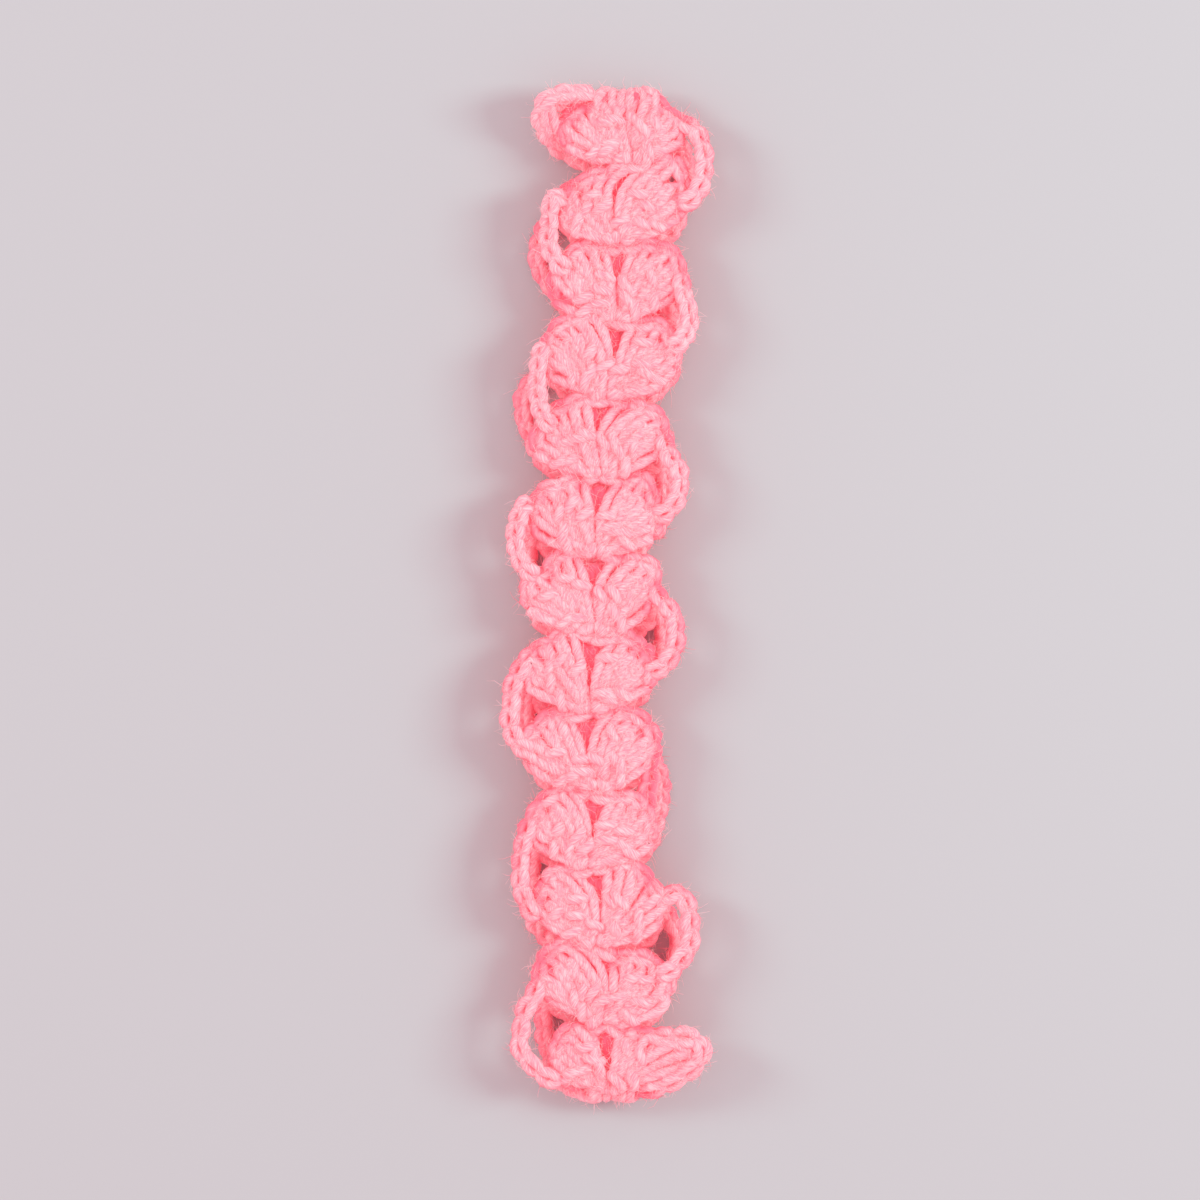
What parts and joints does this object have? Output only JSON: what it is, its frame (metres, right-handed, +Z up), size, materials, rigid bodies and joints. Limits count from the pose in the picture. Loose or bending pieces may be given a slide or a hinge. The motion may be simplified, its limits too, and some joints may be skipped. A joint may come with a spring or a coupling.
{
  "type": "crocheted headband",
  "caption": "Closed lace hair band crocheted in shell stitches with side arcs; it lies doubled flat and opens, row by row, into a ring worn round the head.",
  "frame": {"origin": "middle of the lowest face of the band lying flat, under the centre of its bounding box", "axes": "+Y along the doubled band, +X across the band, +Z up from the surface it lies on"},
  "size_m": [0.053, 0.2521, 0.015],
  "materials": {
    "yarn": "soft plied acrylic yarn, light pink, with a faint fuzz"
  },
  "bodies": {
    "row_01": {"shell_row_01": "yarn", "turning_chain_01": "yarn", "joining_seam": "yarn"},
    "row_02": {"shell_row_02": "yarn", "turning_chain_02": "yarn"},
    "row_03": {"shell_row_03": "yarn", "turning_chain_03": "yarn"},
    "row_04": {"shell_row_04": "yarn", "turning_chain_04": "yarn"},
    "row_05": {"shell_row_05": "yarn", "turning_chain_05": "yarn"},
    "row_06": {"shell_row_06": "yarn", "turning_chain_06": "yarn"},
    "row_07": {"shell_row_07": "yarn", "turning_chain_07": "yarn"},
    "row_08": {"shell_row_08": "yarn", "turning_chain_08": "yarn"},
    "row_09": {"shell_row_09": "yarn", "turning_chain_09": "yarn"},
    "row_10": {"shell_row_10": "yarn", "turning_chain_10": "yarn"},
    "row_11": {"shell_row_11": "yarn", "turning_chain_11": "yarn"},
    "row_12": {"shell_row_12": "yarn", "turning_chain_12": "yarn"},
    "row_13": {"shell_row_13": "yarn", "turning_chain_13": "yarn"},
    "row_14": {"shell_row_14": "yarn", "turning_chain_14": "yarn"},
    "row_15": {"shell_row_15": "yarn", "turning_chain_15": "yarn"},
    "row_16": {"shell_row_16": "yarn", "turning_chain_16": "yarn"},
    "row_17": {"shell_row_17": "yarn", "turning_chain_17": "yarn"},
    "row_18": {"shell_row_18": "yarn", "turning_chain_18": "yarn"},
    "row_19": {"shell_row_19": "yarn", "turning_chain_19": "yarn"},
    "row_20": {"shell_row_20": "yarn", "turning_chain_20": "yarn"},
    "row_21": {"shell_row_21": "yarn", "turning_chain_21": "yarn"},
    "row_22": {"shell_row_22": "yarn", "turning_chain_22": "yarn"},
    "row_23": {"shell_row_23": "yarn", "turning_chain_23": "yarn"},
    "row_24": {"shell_row_24": "yarn", "turning_chain_24": "yarn"},
    "row_25": {"shell_row_25": "yarn", "turning_chain_25": "yarn"},
    "row_26": {"shell_row_26": "yarn", "turning_chain_26": "yarn"}
  },
  "joints": [
    {"name": "row_hinge_02", "type": "hinge", "parent": "row_01", "child": "row_02", "pos_m": [0, -0.00975, 0.005], "axis": [-1, 0, 0], "range_deg": [0, 13.85]},
    {"name": "row_hinge_03", "type": "hinge", "parent": "row_02", "child": "row_03", "pos_m": [0, -0.02925, 0.005], "axis": [-1, 0, 0], "range_deg": [0, 13.85]},
    {"name": "row_hinge_04", "type": "hinge", "parent": "row_03", "child": "row_04", "pos_m": [0, -0.04875, 0.005], "axis": [-1, 0, 0], "range_deg": [0, 13.85]},
    {"name": "row_hinge_05", "type": "hinge", "parent": "row_04", "child": "row_05", "pos_m": [0, -0.06825, 0.005], "axis": [-1, 0, 0], "range_deg": [0, 13.85]},
    {"name": "row_hinge_06", "type": "hinge", "parent": "row_05", "child": "row_06", "pos_m": [0, -0.08775, 0.005], "axis": [-1, 0, 0], "range_deg": [0, 13.85]},
    {"name": "row_hinge_07", "type": "hinge", "parent": "row_06", "child": "row_07", "pos_m": [0, -0.10725, 0.005], "axis": [-1, 0, 0], "range_deg": [0, 6.48]},
    {"name": "loop_opening", "type": "hinge", "parent": "row_07", "child": "row_08", "pos_m": [0, -0.12659, 0.0075], "axis": [1, 0, 0], "range_deg": [0, 151.42]},
    {"name": "row_hinge_09", "type": "hinge", "parent": "row_08", "child": "row_09", "pos_m": [0, -0.10725, 0.01], "axis": [-1, 0, 0], "range_deg": [0, 6.48]},
    {"name": "row_hinge_10", "type": "hinge", "parent": "row_09", "child": "row_10", "pos_m": [0, -0.08775, 0.01], "axis": [-1, 0, 0], "range_deg": [0, 13.85]},
    {"name": "row_hinge_11", "type": "hinge", "parent": "row_10", "child": "row_11", "pos_m": [0, -0.06825, 0.01], "axis": [-1, 0, 0], "range_deg": [0, 13.85]},
    {"name": "row_hinge_12", "type": "hinge", "parent": "row_11", "child": "row_12", "pos_m": [0, -0.04875, 0.01], "axis": [-1, 0, 0], "range_deg": [0, 13.85]},
    {"name": "row_hinge_13", "type": "hinge", "parent": "row_12", "child": "row_13", "pos_m": [0, -0.02925, 0.01], "axis": [-1, 0, 0], "range_deg": [0, 13.85]},
    {"name": "row_hinge_01", "type": "hinge", "parent": "row_01", "child": "row_26", "pos_m": [0, 0.00975, 0.005], "axis": [1, 0, 0], "range_deg": [0, 13.85]},
    {"name": "row_hinge_26", "type": "hinge", "parent": "row_26", "child": "row_25", "pos_m": [0, 0.02925, 0.005], "axis": [1, 0, 0], "range_deg": [0, 13.85]},
    {"name": "row_hinge_25", "type": "hinge", "parent": "row_25", "child": "row_24", "pos_m": [0, 0.04875, 0.005], "axis": [1, 0, 0], "range_deg": [0, 13.85]},
    {"name": "row_hinge_24", "type": "hinge", "parent": "row_24", "child": "row_23", "pos_m": [0, 0.06825, 0.005], "axis": [1, 0, 0], "range_deg": [0, 13.85]},
    {"name": "row_hinge_23", "type": "hinge", "parent": "row_23", "child": "row_22", "pos_m": [0, 0.08775, 0.005], "axis": [1, 0, 0], "range_deg": [0, 13.85]},
    {"name": "row_hinge_22", "type": "hinge", "parent": "row_22", "child": "row_21", "pos_m": [0, 0.10725, 0.005], "axis": [1, 0, 0], "range_deg": [0, 6.48]},
    {"name": "far_fold", "type": "hinge", "parent": "row_21", "child": "row_20", "pos_m": [0, 0.12659, 0.0075], "axis": [-1, 0, 0], "range_deg": [0, 151.42]},
    {"name": "row_hinge_20", "type": "hinge", "parent": "row_20", "child": "row_19", "pos_m": [0, 0.10725, 0.01], "axis": [1, 0, 0], "range_deg": [0, 6.48]},
    {"name": "row_hinge_19", "type": "hinge", "parent": "row_19", "child": "row_18", "pos_m": [0, 0.08775, 0.01], "axis": [1, 0, 0], "range_deg": [0, 13.85]},
    {"name": "row_hinge_18", "type": "hinge", "parent": "row_18", "child": "row_17", "pos_m": [0, 0.06825, 0.01], "axis": [1, 0, 0], "range_deg": [0, 13.85]},
    {"name": "row_hinge_17", "type": "hinge", "parent": "row_17", "child": "row_16", "pos_m": [0, 0.04875, 0.01], "axis": [1, 0, 0], "range_deg": [0, 13.85]},
    {"name": "row_hinge_16", "type": "hinge", "parent": "row_16", "child": "row_15", "pos_m": [0, 0.02925, 0.01], "axis": [1, 0, 0], "range_deg": [0, 13.85]},
    {"name": "row_hinge_15", "type": "hinge", "parent": "row_15", "child": "row_14", "pos_m": [0, 0.00975, 0.01], "axis": [1, 0, 0], "range_deg": [0, 13.85]}
  ],
  "couplings": [
    {"joint": "row_hinge_02", "follows": "loop_opening", "ratio": 0.091441},
    {"joint": "row_hinge_03", "follows": "loop_opening", "ratio": 0.091441},
    {"joint": "row_hinge_04", "follows": "loop_opening", "ratio": 0.091441},
    {"joint": "row_hinge_05", "follows": "loop_opening", "ratio": 0.091441},
    {"joint": "row_hinge_06", "follows": "loop_opening", "ratio": 0.091441},
    {"joint": "row_hinge_07", "follows": "loop_opening", "ratio": 0.042796},
    {"joint": "row_hinge_09", "follows": "loop_opening", "ratio": 0.042796},
    {"joint": "row_hinge_10", "follows": "loop_opening", "ratio": 0.091441},
    {"joint": "row_hinge_11", "follows": "loop_opening", "ratio": 0.091441},
    {"joint": "row_hinge_12", "follows": "loop_opening", "ratio": 0.091441},
    {"joint": "row_hinge_13", "follows": "loop_opening", "ratio": 0.091441},
    {"joint": "row_hinge_01", "follows": "loop_opening", "ratio": 0.091441},
    {"joint": "row_hinge_26", "follows": "loop_opening", "ratio": 0.091441},
    {"joint": "row_hinge_25", "follows": "loop_opening", "ratio": 0.091441},
    {"joint": "row_hinge_24", "follows": "loop_opening", "ratio": 0.091441},
    {"joint": "row_hinge_23", "follows": "loop_opening", "ratio": 0.091441},
    {"joint": "row_hinge_22", "follows": "loop_opening", "ratio": 0.042796},
    {"joint": "far_fold", "follows": "loop_opening", "ratio": 1},
    {"joint": "row_hinge_20", "follows": "loop_opening", "ratio": 0.042796},
    {"joint": "row_hinge_19", "follows": "loop_opening", "ratio": 0.091441},
    {"joint": "row_hinge_18", "follows": "loop_opening", "ratio": 0.091441},
    {"joint": "row_hinge_17", "follows": "loop_opening", "ratio": 0.091441},
    {"joint": "row_hinge_16", "follows": "loop_opening", "ratio": 0.091441},
    {"joint": "row_hinge_15", "follows": "loop_opening", "ratio": 0.091441}
  ]
}
